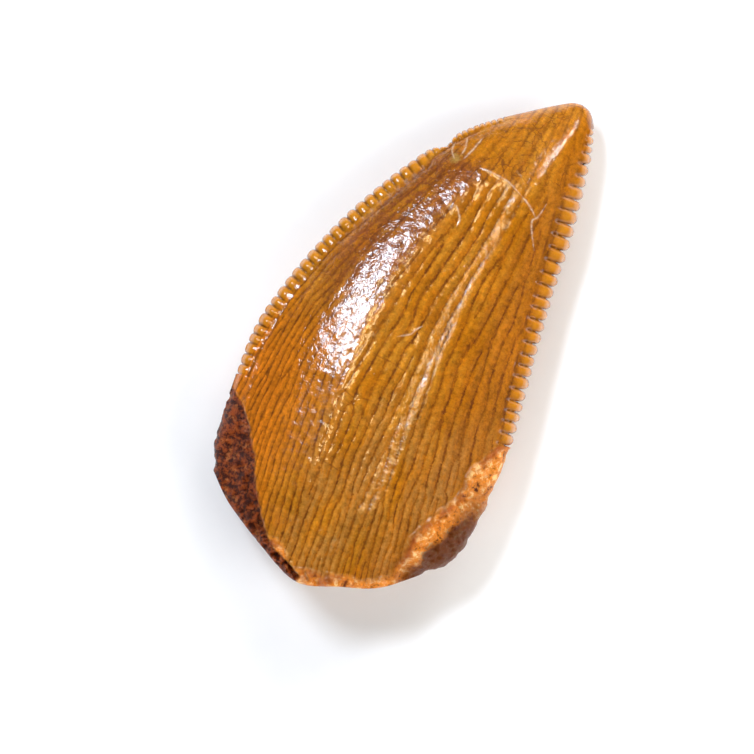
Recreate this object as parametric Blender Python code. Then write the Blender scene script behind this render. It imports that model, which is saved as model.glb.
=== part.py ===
"""Fossil raptor tooth: a flattened, curved crown with serrated edges and a broken base.

The tooth lies on its inner face. +Y runs towards the tip, +X towards the rear (distal)
edge and +Z up through the outer face. The origin is under the middle of its box, on the
surface that it rests on. Sizes are in millimetres and turned into metres at the end.
"""

import math

import bpy
import bmesh
import numpy as np
from mathutils import Vector, noise

MM = 0.001

# Outline of the crown seen from above, each edge from the base corner to the tip.
TIP = (1.58, 10.65)
MESIAL_EDGE = [
    (-4.32, -8.45), (-4.85, -7.45), (-5.22, -5.30), (-5.53, -2.80), (-5.20, -0.10),
    (-4.38, 2.90), (-3.08, 5.90), (-1.72, 7.95), (0.02, 9.57), (0.95, 10.34), TIP,
]
DISTAL_EDGE = [
    (4.55, -8.25), (5.22, -7.55), (5.58, -6.50), (5.60, -5.00), (5.38, -2.50), (4.80, 0.20),
    (4.05, 3.60), (3.58, 6.30), (2.90, 8.85), (2.54, 9.80), (2.27, 10.26), (1.96, 10.56), TIP,
]
BASE_EDGE = [
    MESIAL_EDGE[0], (-3.20, -9.25), (-1.30, -10.10), (0.45, -10.65), (2.00, -10.05),
    (3.35, -9.40), DISTAL_EDGE[0],
]

# Section of the outer face: its tilt in degrees at places across the width, from the mesial
# edge up to the crest and down to the distal edge. The crown has one and the tip another.
CROWN_TILT = (
    [0.00, 0.008, 0.02, 0.048, 0.065, 0.10, 0.13, 0.17, 0.20, 0.24, 0.31, 0.35, 0.39, 0.45, 0.57,
     0.60, 0.63, 0.645, 0.665, 0.70, 0.76, 0.82, 0.87, 0.92, 0.96, 1.00],
    [62.0, 46.0, 24.0, 20.0, 40.0, 41.0, 34.0, 26.0, 20.0, 16.5, 13.0, 7.0, 1.0, -2.0, 0.0,
     7.0, 12.5, 6.0, -9.0, -13.0, -16.0, -22.0, -29.0, -36.0, -40.0, -62.0])
TIP_TILT = (
    [0.00, 0.008, 0.02, 0.05, 0.07, 0.12, 0.18, 0.24, 0.30, 0.36, 0.42, 0.50, 0.57, 0.61, 0.655,
     0.68, 0.72, 0.76, 0.84, 0.92, 1.00],
    [62.0, 46.0, 26.0, 22.0, 36.0, 35.0, 29.0, 24.0, 19.0, 13.0, 9.5, 8.0, 8.0, 5.0, 0.0,
     -6.0, -16.0, -22.0, -30.0, -42.0, -62.0])
CREST_U = 0.655
TIP_BLEND_Y = (4.2, 7.4)
SECTION_STEPS = 400

# The shoulder along the mesial side drifts towards the middle lower down.
BAND_U = 0.27
BAND_SPREAD = 0.20
BAND_DRIFT = 0.045
BAND_DRIFT_Y = (2.0, -5.0)

# Section of the inner face, as shares of the width.
INNER_FULLNESS = 0.200
INNER_EXPONENT = 0.62

# Height of the plane of the two edges: it pitches down to the tip, as the tooth settles.
EDGE_HEIGHT = 2.03
EDGE_PITCH = 0.06
BALANCE_Y = -1.7

# Lengthwise enamel ridges of the outer face, their relief as a share of the crown's width.
RIDGES = 15
RIDGE_RELIEF = 0.0036

# Serrations: where they begin and end, measured along each edge, and their pitch there.
MESIAL_SERRATION = (3.9, 18.4)
MESIAL_PITCH = ([3.9, 8.0, 14.9, 15.4, 18.4], [0.44, 0.45, 0.42, 0.27, 0.24])
DISTAL_SERRATION = (6.3, 18.9)
DISTAL_PITCH = ([6.3, 10.0, 15.5, 18.9], [0.45, 0.46, 0.52, 0.32])
GROOVE_DEPTH = 0.13
MESIAL_GROOVE_SHARES = (0.50, 0.14)
DISTAL_GROOVE_SHARES = (0.55, 0.32)
STATIONS_PER_SERRATION = 3
MESIAL_TIP_STATIONS = 9
DISTAL_TIP_STATIONS = 3
MESIAL_BASE_STATIONS = 12
TIP_CLEARANCE = 0.42

# The edge strips that carry the serrations: distances in from the edge.
STRIP_DEPTHS = (0.13, 0.48)
FACE_MARGIN = 0.90
STRIP_FULL_WIDTH = 4.0
EDGE_THICKNESS = 0.13
EDGE_ROUND = 0.10
LEAST_THICKNESS = 0.03

# A chip out of the mesial edge, beyond the larger serrations.
CHIP_Y = 6.90
CHIP_SPREAD = 0.30
CHIP_DEPTH = 0.24

# Lower mesial corner: the enamel is gone and rough dentine lies a little lower.
DENTINE_LIMIT = ([-10.4, -9.9, -9.1, -8.0, -7.0, -6.25, -5.6, -5.1],
                 [0.45, -0.9, -1.9, -2.7, -3.3, -3.9, -4.7, -5.4])
DENTINE_DROP = 0.30
DENTINE_LUMPS = 0.22

# Lower distal corner: a raised crust of rough dentine along the edge.
CRUST_LIMIT = ([-9.2, -7.5, -6.2, -4.6, -3.8, -2.6, -1.9],
               [3.55, 3.50, 3.90, 4.50, 4.40, 4.75, 5.40])
CRUST_RISE = 0.16
CRUST_LUMPS = 0.20
LUMP_SIZE = 0.65
EDGE_WEAR = 0.10
LIMIT_SOFTNESS = 0.45

# Broken base: its rim is rounded and its middle is hollowed towards the crown.
RIM_ROUND = 2.40
RIM_SHARE = 0.66
BASE_HOLLOW = 0.95
BASE_HOLLOW_EXPONENT = 1.2
BASE_LUMPS = 0.40
BASE_RINGS = (0.66, 0.30, -0.05, -0.40, -0.72)
BASE_COLUMNS = 18
BOW_FADE = 3.0

# Mesh resolution.
OUTER_COLUMNS = 2 * RIDGES
INNER_COLUMNS = 10
CURVE_STEPS = 40
SHARP_ANGLE = math.radians(38)

ENAMEL_COLOUR = (0.56, 0.25, 0.045, 1.0)
ENAMEL_ROUGHNESS = 0.28


def smooth_path(points):
    """Dense line through the points (a Catmull-Rom curve), with its running length."""
    given = np.array(points, dtype=float)
    padded = np.vstack([2 * given[0] - given[1], given, 2 * given[-1] - given[-2]])
    t = np.linspace(0.0, 1.0, CURVE_STEPS, endpoint=False)[:, None]
    spans = []
    for p0, p1, p2, p3 in zip(padded, padded[1:], padded[2:], padded[3:]):
        linear = (p2 - p0) * t
        square = (2 * p0 - 5 * p1 + 4 * p2 - p3) * t ** 2
        cubic = (3 * p1 - p0 - 3 * p2 + p3) * t ** 3
        spans.append(0.5 * (2 * p1 + linear + square + cubic))
    line = np.vstack(spans + [given[-1:]])
    run = np.concatenate([[0.0], np.cumsum(np.linalg.norm(np.diff(line, axis=0), axis=1))])
    return line, run


MESIAL_LINE, MESIAL_RUN = smooth_path(MESIAL_EDGE)
DISTAL_LINE, DISTAL_RUN = smooth_path(DISTAL_EDGE)
BASE_LINE, BASE_RUN = smooth_path(BASE_EDGE)


def along(line, run, length):
    """Point on a line at a distance along it."""
    return np.array([np.interp(length, run, line[:, axis]) for axis in (0, 1)])


def smoothstep(low, high, value):
    """0 below low, 1 above high and an eased rise between."""
    share = min(max((value - low) / (high - low), 0.0), 1.0)
    return share * share * (3.0 - 2.0 * share)


def lumps(x, y, z, size):
    """Rough broken surface: rounded noise between about -1 and 1."""
    return noise.fractal(Vector((x, y, z)) / size, 0.9, 2.2, 3)


def chord(y):
    """Left end and width of the crown at one height up the tooth."""
    left = np.interp(y, MESIAL_LINE[:, 1], MESIAL_LINE[:, 0])
    right = np.interp(y, DISTAL_LINE[:, 1], DISTAL_LINE[:, 0])
    return left, max(right - left, 1e-6)


def edge_height(y):
    """Height of the plane that holds both serrated edges."""
    return EDGE_HEIGHT - EDGE_PITCH * (y - BALANCE_Y)


def rim_factor(x, y):
    """Share of the full thickness that is left where the faces round over into the base."""
    rim_y = np.interp(x, BASE_LINE[:, 0], BASE_LINE[:, 1])
    share = min(max((y - rim_y) / RIM_ROUND, 0.0), 1.0)
    return RIM_SHARE + (1.0 - RIM_SHARE) * math.sqrt(1.0 - (1.0 - share) ** 2)


def section_heights(tilts):
    """Heights across a section one wide, level again at the distal edge."""
    u = np.linspace(0.0, 1.0, SECTION_STEPS + 1)
    slope = np.tan(np.radians(np.interp(u, *tilts)))
    steps = 0.5 * (slope[1:] + slope[:-1]) / SECTION_STEPS
    falling = 0.5 * (u[1:] + u[:-1]) > CREST_U
    steps[falling] *= -steps[~falling].sum() / steps[falling].sum()
    return u, np.concatenate([[0.0], np.cumsum(steps)])


CROWN_SECTION = section_heights(CROWN_TILT)
TIP_SECTION = section_heights(TIP_TILT)


def outer_section(u, y):
    """Height of the outer face as a share of the width."""
    share = smoothstep(*TIP_BLEND_Y, y)
    drift = BAND_DRIFT * smoothstep(*BAND_DRIFT_Y, y)
    u -= drift * math.exp(-((u - BAND_U) / BAND_SPREAD) ** 2)
    return (1.0 - share) * np.interp(u, *CROWN_SECTION) + share * np.interp(u, *TIP_SECTION)


def edge_body(u, width):
    """Thickness that keeps the serrated edges blunt, so they aren't thin as paper."""
    inset = min(u, 1.0 - u) * width
    return EDGE_THICKNESS * (1.0 - math.exp(-(inset / EDGE_ROUND) ** 2)) * min(1.0, width / 2.0)


def dentine_share(x, y):
    """1 on the bare dentine of the lower mesial corner, 0 on enamel."""
    return smoothstep(-LIMIT_SOFTNESS / 2, LIMIT_SOFTNESS / 2, np.interp(y, *DENTINE_LIMIT) - x)


def crust_share(x, y):
    """1 on the raised crust of the lower distal corner, 0 on enamel."""
    return smoothstep(-LIMIT_SOFTNESS / 2, LIMIT_SOFTNESS / 2, x - np.interp(y, *CRUST_LIMIT))


def across(x, y):
    """Place across the crown, 0 at the mesial edge and 1 at the distal edge, and the width."""
    left, width = chord(y)
    return min(max((x - left) / width, 0.0), 1.0), width


def outer_surface(x, y, wave):
    """Height of the outer face, which is up; wave is 1 on an enamel ridge and -1 between two."""
    u, width = across(x, y)
    height = width * outer_section(u, y) * rim_factor(x, y) + edge_body(u, width)
    bare = dentine_share(x, y)
    crust = crust_share(x, y)
    rough = lumps(x, y, 0.0, LUMP_SIZE)
    body = min(1.0, 4.0 * u, 4.0 * (1.0 - u) + 0.5 * crust)
    height += bare * (DENTINE_LUMPS * rough - DENTINE_DROP) * body
    height += crust * (CRUST_LUMPS * rough + CRUST_RISE) * body
    height += wave * RIDGE_RELIEF * width * (1.0 - bare) * (1.0 - crust)
    return edge_height(y) + max(height, LEAST_THICKNESS)


def inner_surface(x, y, _wave):
    """Height of the inner face, which is down and worn flat where the tooth rests."""
    u, width = across(x, y)
    section = (4.0 * u * (1.0 - u)) ** INNER_EXPONENT
    depth = INNER_FULLNESS * width * section * rim_factor(x, y) + edge_body(u, width)
    return max(edge_height(y) - depth, 0.0)


def serration_stations(reach, pitch, base_count, tip_count, full_length):
    """Distances along an edge, and how deep the groove is cut at each.

    Each serration has a groove station and two shoulder stations.
    """
    start, end = reach
    base = np.linspace(0.0, 1.0, base_count, endpoint=False) ** 1.4 * start
    stations = [(place, 0.0) for place in base]
    place = start
    while place < end:
        step = float(np.interp(place, *pitch))
        stations.append((place, 1.0))
        stations.append((place + 0.34 * step, 0.0))
        stations.append((place + 0.66 * step, 0.0))
        place += step
    last = full_length - TIP_CLEARANCE
    stations += [(value, 0.0) for value in np.linspace(place, last, tip_count + 1)]
    return stations


def serration_count(reach, pitch):
    """How many serrations fit on an edge."""
    place, end = reach
    count = 0
    while place < end:
        place += float(np.interp(place, *pitch))
        count += 1
    return count


def matched_stations():
    """Stations of both edges, with one for one pairs from base to tip."""
    mesial_count = serration_count(MESIAL_SERRATION, MESIAL_PITCH)
    distal_count = serration_count(DISTAL_SERRATION, DISTAL_PITCH)
    total = MESIAL_BASE_STATIONS + STATIONS_PER_SERRATION * mesial_count + MESIAL_TIP_STATIONS
    distal_base = total - STATIONS_PER_SERRATION * distal_count - DISTAL_TIP_STATIONS
    mesial = serration_stations(MESIAL_SERRATION, MESIAL_PITCH, MESIAL_BASE_STATIONS,
                                MESIAL_TIP_STATIONS, MESIAL_RUN[-1])
    distal = serration_stations(DISTAL_SERRATION, DISTAL_PITCH, distal_base,
                                DISTAL_TIP_STATIONS, DISTAL_RUN[-1])
    return mesial, distal


def edge_point(line, run, station, outward_side):
    """Point of a serrated edge, cut in where a groove or the chip runs."""
    length, groove = station
    point = along(line, run, length)
    ahead = along(line, run, min(length + 0.05, run[-1]))
    behind = along(line, run, max(length - 0.05, 0.0))
    tangent = (ahead - behind) / np.linalg.norm(ahead - behind)
    outward = outward_side * np.array([-tangent[1], tangent[0]])
    inset = GROOVE_DEPTH * groove
    if outward_side > 0:
        inset += CHIP_DEPTH * math.exp(-((point[1] - CHIP_Y) / CHIP_SPREAD) ** 2)
    inside = point - LIMIT_SOFTNESS * outward
    rough = max(dentine_share(*inside), crust_share(*inside))
    inset += EDGE_WEAR * rough * (0.5 + 0.5 * lumps(point[0], point[1], 5.0, LUMP_SIZE))
    return point - inset * outward


class Rows:
    """Rows across the crown, each from a mesial station to a distal station."""

    def __init__(self):
        self.mesial, self.distal = matched_stations()
        self.count = len(self.mesial)

    def ends(self, row):
        left = along(MESIAL_LINE, MESIAL_RUN, self.mesial[row][0])
        right = along(DISTAL_LINE, DISTAL_RUN, self.distal[row][0])
        return left, right

    def place(self, row, u):
        """Point in plan on a row; rows near the base bow down to follow its rim."""
        left, right = self.ends(row)
        share = 0.5 * (self.mesial[row][0] / MESIAL_RUN[-1] + self.distal[row][0] / DISTAL_RUN[-1])
        first = np.array(BASE_EDGE[0])
        last = np.array(BASE_EDGE[-1])
        rim = along(BASE_LINE, BASE_RUN, u * BASE_RUN[-1])
        bow = rim - ((1.0 - u) * first + u * last)
        return (1.0 - u) * left + u * right + bow * (1.0 - share) ** BOW_FADE

    def inset_share(self, row, depth):
        """A distance in from the edge as a share of the row, less where the crown is narrow."""
        left, right = self.ends(row)
        width = np.linalg.norm(right - left)
        return depth * min(1.0, width / STRIP_FULL_WIDTH) / width


def zip_chains(bm, first, second):
    """Triangles between two chains of (parameter, vertex) that run side by side."""
    i = j = 0
    while i < len(first) - 1 or j < len(second) - 1:
        on_first = j == len(second) - 1
        if i < len(first) - 1 and not on_first:
            on_first = first[i + 1][0] <= second[j + 1][0] + 1e-9
        step = first[i + 1][1] if on_first else second[j + 1][1]
        corners = [first[i][1], second[j][1], step]
        if len(set(corners)) == 3:
            bm.faces.new(corners)
        if on_first:
            i += 1
        else:
            j += 1


def face_columns(bm, rows, edges, column_count, surface):
    """Columns of one face from the mesial to the distal edge, each a chain up the tooth.

    Columns close to an edge have a vertex at every station, the others at every third.
    """
    def vertex(row, u, wave, groove):
        x, y = rows.place(row, u)
        level = edge_height(y)
        return bm.verts.new((x, y, level + (surface(x, y, wave) - level) * (1.0 - groove)))

    def strip(depth, share, distal):
        chain = []
        for row in range(rows.count):
            inset = rows.inset_share(row, depth)
            station = rows.distal[row] if distal else rows.mesial[row]
            chain.append((row, vertex(row, 1.0 - inset if distal else inset, 0.0, share * station[1])))
        return chain

    columns = [list(enumerate(edges[0]))]
    for depth, share in zip(STRIP_DEPTHS, MESIAL_GROOVE_SHARES):
        columns.append(strip(depth, share, distal=False))
    for column in range(column_count + 1):
        w = column / column_count
        wave = math.cos(2.0 * math.pi * RIDGES * w)
        chain = []
        for row in range(0, rows.count, STATIONS_PER_SERRATION):
            margin = rows.inset_share(row, FACE_MARGIN)
            chain.append((row, vertex(row, margin + (1.0 - 2.0 * margin) * w, wave, 0.0)))
        columns.append(chain)
    for depth, share in reversed(list(zip(STRIP_DEPTHS, DISTAL_GROOVE_SHARES))):
        columns.append(strip(depth, share, distal=True))
    columns.append(list(enumerate(edges[1])))
    for one, other in zip(columns, columns[1:]):
        zip_chains(bm, one, other)
    return columns


def end_chain(columns, index):
    """The vertices at one end of every column, with their places across the row."""
    return [(number / (len(columns) - 1), chain[index][1]) for number, chain in enumerate(columns)]


def close_tip(bm, outer, inner):
    """Fan from the last row round both faces to the point of the tooth."""
    tip = bm.verts.new((TIP[0], TIP[1], edge_height(TIP[1])))
    for chain in (end_chain(outer, -1), end_chain(inner, -1)):
        for one, other in zip(chain, chain[1:]):
            bm.faces.new((one[1], other[1], tip))


def base_ring(bm, corners, ring):
    """One chain across the broken base, at a level between the outer rim (1) and inner rim (-1)."""
    chain = [(0.0, corners[0])]
    for column in range(1, BASE_COLUMNS):
        u = column / BASE_COLUMNS
        x, y = along(BASE_LINE, BASE_RUN, u * BASE_RUN[-1])
        high = outer_surface(x, y, 0.0)
        low = inner_surface(x, y, 0.0)
        z = low + (high - low) * (0.5 + 0.5 * ring)
        middle = (4.0 * u * (1.0 - u)) ** BASE_HOLLOW_EXPONENT
        hollow = BASE_HOLLOW * (1.0 - ring ** 2) * middle
        rough = BASE_LUMPS * lumps(x, z, 9.0, LUMP_SIZE) * (1.0 - ring ** 2) * middle
        chain.append((u, bm.verts.new((x, y + max(hollow + rough, 0.0), z))))
    chain.append((1.0, corners[1]))
    return chain


def true_shares(chain):
    """Gives a rim chain its places across the base, so that rings zip to it without shear."""
    xs = [vertex.co.x for _, vertex in chain]
    rim_share = BASE_RUN / BASE_RUN[-1]
    return [(float(np.interp(x, BASE_LINE[:, 0], rim_share)), vertex)
            for x, (_, vertex) in zip(xs, chain)]


def close_base(bm, outer, inner):
    """The broken base: rings from the outer rim over the hollow to the inner rim."""
    corners = (outer[0][0][1], outer[-1][0][1])
    chains = [true_shares(end_chain(outer, 0))]
    chains += [base_ring(bm, corners, ring) for ring in BASE_RINGS]
    chains.append(true_shares(end_chain(inner, 0)))
    for one, other in zip(chains, chains[1:]):
        zip_chains(bm, one, other)


def enamel_material():
    """Honey-coloured, glossy fossil enamel."""
    material = bpy.data.materials.new("fossil_enamel")
    material.use_nodes = True
    shader = material.node_tree.nodes["Principled BSDF"]
    shader.inputs["Base Color"].default_value = ENAMEL_COLOUR
    shader.inputs["Roughness"].default_value = ENAMEL_ROUGHNESS
    shader.inputs["Metallic"].default_value = 0.0
    return material


def make_tooth():
    """The whole tooth: enamel crown, serrations, bare dentine and broken base in one body."""
    bm = bmesh.new()
    rows = Rows()
    edges = []
    for stations, line, run, side in ((rows.mesial, MESIAL_LINE, MESIAL_RUN, 1),
                                      (rows.distal, DISTAL_LINE, DISTAL_RUN, -1)):
        edge = []
        for station in stations:
            x, y = edge_point(line, run, station, side)
            edge.append(bm.verts.new((x, y, edge_height(y))))
        edges.append(edge)
    outer = face_columns(bm, rows, edges, OUTER_COLUMNS, outer_surface)
    inner = face_columns(bm, rows, edges, INNER_COLUMNS, inner_surface)
    close_tip(bm, outer, inner)
    close_base(bm, outer, inner)
    bmesh.ops.recalc_face_normals(bm, faces=bm.faces)
    bmesh.ops.scale(bm, vec=(MM, MM, MM), verts=bm.verts)
    mesh = bpy.data.meshes.new("tooth")
    bm.to_mesh(mesh)
    bm.free()
    mesh.shade_smooth()
    mesh.set_sharp_from_angle(angle=SHARP_ANGLE)
    mesh.materials.append(enamel_material())
    tooth = bpy.data.objects.new("tooth", mesh)
    bpy.context.scene.collection.objects.link(tooth)
    return tooth


for old in list(bpy.data.objects):
    bpy.data.objects.remove(old, do_unlink=True)
make_tooth()
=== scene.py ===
import math

import bpy
import numpy as np
from mathutils import Matrix, Vector, geometry


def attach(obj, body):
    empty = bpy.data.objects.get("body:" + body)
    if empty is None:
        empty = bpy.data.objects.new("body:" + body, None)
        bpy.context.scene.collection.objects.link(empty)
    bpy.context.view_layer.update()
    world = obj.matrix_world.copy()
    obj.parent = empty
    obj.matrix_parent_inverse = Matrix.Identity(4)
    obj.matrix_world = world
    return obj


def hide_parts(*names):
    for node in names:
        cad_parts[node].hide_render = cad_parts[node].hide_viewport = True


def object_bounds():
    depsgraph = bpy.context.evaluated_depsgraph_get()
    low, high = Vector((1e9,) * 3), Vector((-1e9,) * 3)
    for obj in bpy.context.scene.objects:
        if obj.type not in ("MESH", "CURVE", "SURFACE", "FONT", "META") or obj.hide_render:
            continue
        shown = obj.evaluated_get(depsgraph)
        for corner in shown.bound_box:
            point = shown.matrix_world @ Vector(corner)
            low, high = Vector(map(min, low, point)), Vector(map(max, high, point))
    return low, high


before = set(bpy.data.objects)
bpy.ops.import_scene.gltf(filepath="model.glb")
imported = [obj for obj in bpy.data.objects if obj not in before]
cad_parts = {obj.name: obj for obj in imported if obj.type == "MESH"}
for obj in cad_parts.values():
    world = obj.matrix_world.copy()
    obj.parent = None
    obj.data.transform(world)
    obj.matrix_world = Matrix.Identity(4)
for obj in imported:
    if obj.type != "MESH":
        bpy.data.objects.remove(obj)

cad_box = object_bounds()

# The tooth lies on its inner face: +Y to its tip, +X to its distal edge, +Z up.
# Shapes are worked out in millimetres and turned into metres when the mesh is made.
MM = 0.001

# Outline of the crown seen from above, each edge from the base corner to the tip.
TIP = (1.60, 10.65)
MESIAL_EDGE = [
    (-4.32, -8.45), (-4.85, -7.45), (-5.22, -5.30), (-5.53, -2.80), (-5.20, -0.10),
    (-4.38, 2.90), (-3.08, 5.90), (-1.72, 7.95), (0.02, 9.57), (0.93, 10.33), (1.27, 10.56), TIP,
]
DISTAL_EDGE = [
    (4.55, -8.25), (5.22, -7.55), (5.58, -6.50), (5.60, -5.00), (5.38, -2.50), (4.80, 0.20),
    (4.05, 3.60), (3.58, 6.30), (2.90, 8.85), (2.54, 9.80), (2.27, 10.26), (1.96, 10.56), TIP,
]
BASE_EDGE = [
    MESIAL_EDGE[0], (-3.20, -9.25), (-1.30, -10.10), (0.45, -10.65), (2.00, -10.05),
    (3.35, -9.40), DISTAL_EDGE[0],
]

# Section of the outer face: its tilt in degrees at places across the width, rising from
# the mesial edge; one section for most of the crown and one for the tip.
CROWN_TILT = (
    [0.00, 0.008, 0.02, 0.048, 0.065, 0.10, 0.13, 0.17, 0.20, 0.24, 0.31, 0.35, 0.39, 0.45, 0.57,
     0.60, 0.63, 0.645, 0.665, 0.70, 0.76, 0.82, 0.87, 0.92, 0.96, 1.00],
    [62.0, 46.0, 24.0, 20.0, 40.0, 41.0, 34.0, 26.0, 20.0, 16.5, 13.0, 7.0, 1.0, -2.0, 0.0,
     6.0, 8.5, 5.0, -9.0, -13.0, -16.0, -22.0, -29.0, -36.0, -40.0, -62.0])
TIP_TILT = (
    [0.00, 0.008, 0.02, 0.05, 0.07, 0.12, 0.18, 0.24, 0.30, 0.36, 0.42, 0.50, 0.57, 0.61, 0.655,
     0.68, 0.72, 0.76, 0.84, 0.92, 1.00],
    [62.0, 46.0, 26.0, 22.0, 36.0, 35.0, 29.0, 24.0, 19.0, 13.0, 9.5, 8.0, 8.0, 5.0, 0.0,
     -6.0, -16.0, -22.0, -30.0, -42.0, -62.0])
CREST_U = 0.655
TIP_BLEND_Y = (4.2, 7.4)

# The shoulder along the mesial side drifts towards the middle lower down.
BAND_U = 0.27
BAND_SPREAD = 0.20
BAND_DRIFT = 0.045
BAND_DRIFT_Y = (2.0, -5.0)

INNER_FULLNESS = 0.200
INNER_EXPONENT = 0.62
EDGE_HEIGHT = 2.03
EDGE_PITCH = 0.06
BALANCE_Y = -1.7
EDGE_THICKNESS = 0.13
EDGE_ROUND = 0.10
LEAST_THICKNESS = 0.02

# Serrations of each edge: where they begin and end along it, their pitch and their length
# inwards at places along it, how deep they cut into the outline, from which share of their
# length they fade out, how much their heads swell, and the seed of their unevenness.
MESIAL_SERRATIONS = {
    "reach": (3.9, 18.4),
    "pitch": ([3.9, 8.0, 14.9, 15.4, 18.4], [0.44, 0.45, 0.42, 0.27, 0.24]),
    "lengths": ([3.9, 6.0, 14.9, 15.4, 18.4], [0.46, 0.60, 0.66, 0.40, 0.20]),
    "cut": 0.12,
    "fade": 0.45,
    "swelling": 0.20,
    "seed": 11,
}
DISTAL_SERRATIONS = {
    "reach": (6.3, 18.9),
    "pitch": ([6.3, 10.0, 15.5, 18.9], [0.45, 0.46, 0.52, 0.32]),
    "lengths": ([6.3, 10.0, 14.0, 16.0, 17.0, 18.9], [0.64, 0.72, 0.88, 0.98, 0.52, 0.32]),
    "cut": 0.25,
    "fade": 0.75,
    "swelling": 0.45,
    "seed": 23,
}
SERRATION_RELIEF = 0.19
USUAL_PITCH = 0.45
LONGEST_SERRATION = 1.9
SIZE_RANGE = (0.65, 1.15)
PITCH_JITTER = 0.13
GROOVE_LINE_DEPTH = 0.025

# A chip out of the mesial edge, beyond the larger serrations.
CHIP_Y = 6.90
CHIP_SPREAD = 0.30
CHIP_DEPTH = 0.24

# Bare dentine of the lower mesial corner and raised crust of the lower distal corner.
DENTINE_LIMIT = ([-10.4, -9.9, -9.1, -8.0, -7.0, -6.25, -5.6, -5.1, -4.6],
                 [0.45, -0.9, -1.9, -2.7, -3.3, -3.9, -4.7, -5.4, -6.4])
CRUST_LIMIT = ([-9.2, -7.5, -6.2, -4.6, -3.8, -2.6, -1.9],
               [3.55, 3.50, 3.90, 4.50, 4.40, 4.75, 5.40])
DENTINE_DROP = 0.26
DENTINE_LUMPS = 0.18
CRUST_RISE = 0.15
CRUST_LUMPS = 0.18
LUMP_SIZE = 0.55
NODULE_SIZES = (0.30, 0.18)
INNER_PIT_SIZE = 0.50
INNER_BARE_DROP = 0.14
INNER_CRUST_DROP = 0.11
EDGE_WEAR = 0.10
LIMIT_SOFTNESS = 0.16

# Broken base: a rounded rim and a hollow.
RIM_ROUND = 2.40
RIM_SHARE = 0.66
BASE_HOLLOW = 0.95
BASE_HOLLOW_EXPONENT = 1.2
BASE_LUMPS = 0.40
BASE_LEVELS = 22

# Finish of the broken base: its share of bare dentine, the rest crust, and its "flow" values.
WALL_BARE = 0.75
WALL_SHIFT = (5.0, -9.0)

# Growth lines run evenly between two lines left and right of the crown, given as x at each y.
GROWTH_LEFT = ([-10.6, -8.0, -5.0, -3.0, -1.0, 1.0, 3.0, 5.0, 7.0, 9.0, 10.7],
               [-6.35, -6.50, -6.56, -6.48, -6.15, -5.50, -4.60, -3.60, -2.70, -1.85, -1.10])
GROWTH_RIGHT = ([-10.6, -9.0, -6.0, -3.0, 0.0, 3.6, 6.3, 10.0, 10.7],
                [8.10, 7.60, 6.70, 5.85, 5.05, 4.20, 3.50, 2.40, 2.20])
GROWTH_SPAN = 10.0
RIDGE_PERIOD = ([-10.5, -6.0, -2.0, 3.0, 9.0], [0.26, 0.33, 0.43, 0.50, 0.56])
RIDGE_NARROWING = ([0.0, 0.12, 0.30, 0.40, 1.0], [0.55, 0.60, 0.85, 1.0, 1.0])
RIDGE_RELIEF = 0.012
RIDGE_SEEDS = {1.0: 31, -1.0: 47}
UNEVENNESS = 0.010
PACKET_ALONG = 1.5
PACKET_ACROSS = 0.42
PACKET_REACH = 2.6
PACKET_TILT = 0.05
PACKETS_Y = (-12.0, 12.0)
PACKETS_ACROSS = (-1.0, 11.0)

# The mesh keeps this far inside the box of the solid.
BOX_CLEAR = 0.002

# The "place" values of the two faces lie this far above and below, so that their noise differs.
FACE_SHIFT = 7.0

# Mesh: spacing on the outer face, the inner face and the outline, seeds of the two lattices,
# steps of curves and sections, and how far the lattice is shaken and kept off the outline.
OUTER_STEP = 0.051
INNER_STEP = 0.120
OUTLINE_STEP = 0.050
OUTER_SEED = 5
INNER_SEED = 7
CURVE_STEPS = 40
SECTION_STEPS = 400
LATTICE_SHAKE = 0.12
RING_CLEAR = 0.62
CLEAR_STEP = 0.08

# Noise: cells before its values repeat, and how far each finer octave is turned.
NOISE_CELLS = 128
NOISE_TURN = 0.6

# How many points are measured against a line at once.
BATCH = 2000

# Cracks and scratches of the outer face.
WHITE_CRACKS = [
    [(-0.73, 6.58), (-0.44, 6.61), (-0.01, 6.62), (0.49, 6.58), (1.19, 6.34)],
    [(1.19, 6.34), (1.59, 6.16), (1.99, 5.89)],
    [(2.14, 6.50), (2.09, 5.95), (1.96, 5.70), (2.19, 5.26), (2.53, 4.79)],
    [(-1.19, 7.69), (-1.31, 7.10), (-1.47, 6.58)],
    [(-2.05, 7.05), (-2.02, 6.72), (-1.80, 6.45)],
    [(-1.72, 7.40), (-1.60, 7.05), (-1.62, 6.70)],
    [(-0.86, 4.86), (-0.67, 4.66), (-0.50, 4.44), (-0.48, 4.15)],
    [(-0.48, -0.60), (-0.30, -0.46), (-0.09, -0.27), (0.00, -0.04), (0.15, 0.17)],
]
BROWN_CRACKS = [
    [(-1.32, -1.57), (-0.73, -1.61), (-0.13, -1.59), (0.44, -1.68)],
    [(-1.25, -6.20), (-0.81, -6.13), (-0.43, -6.11), (-0.02, -6.15), (0.21, -6.07)],
    [(-1.43, -3.33), (-1.08, -3.41), (-0.79, -3.47)],
    [(-1.20, -4.17), (-0.95, -4.07), (-0.70, -4.12)],
    [(-1.21, -3.65), (-0.85, -3.68), (-0.67, -3.36), (-0.14, -3.21)],
    [(0.74, 9.15), (0.35, 8.90), (0.02, 8.77), (-0.31, 8.50)],
    [(-1.31, 6.19), (-1.80, 5.80), (-2.49, 4.82), (-3.21, 3.78), (-3.60, 2.97)],
    [(-3.79, 1.12), (-3.53, 0.39), (-3.67, -0.34), (-3.78, -1.36), (-3.72, -2.37)],
    [(-1.05, -0.52), (-1.00, -0.67), (-1.02, -0.84)],
]
SCRATCH_RISE = 0.016
CRACK_DROP = 0.006
WHITE_WIDTH = 0.030
BROWN_WIDTH = 0.026
CRACK_STEP = 0.04
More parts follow.
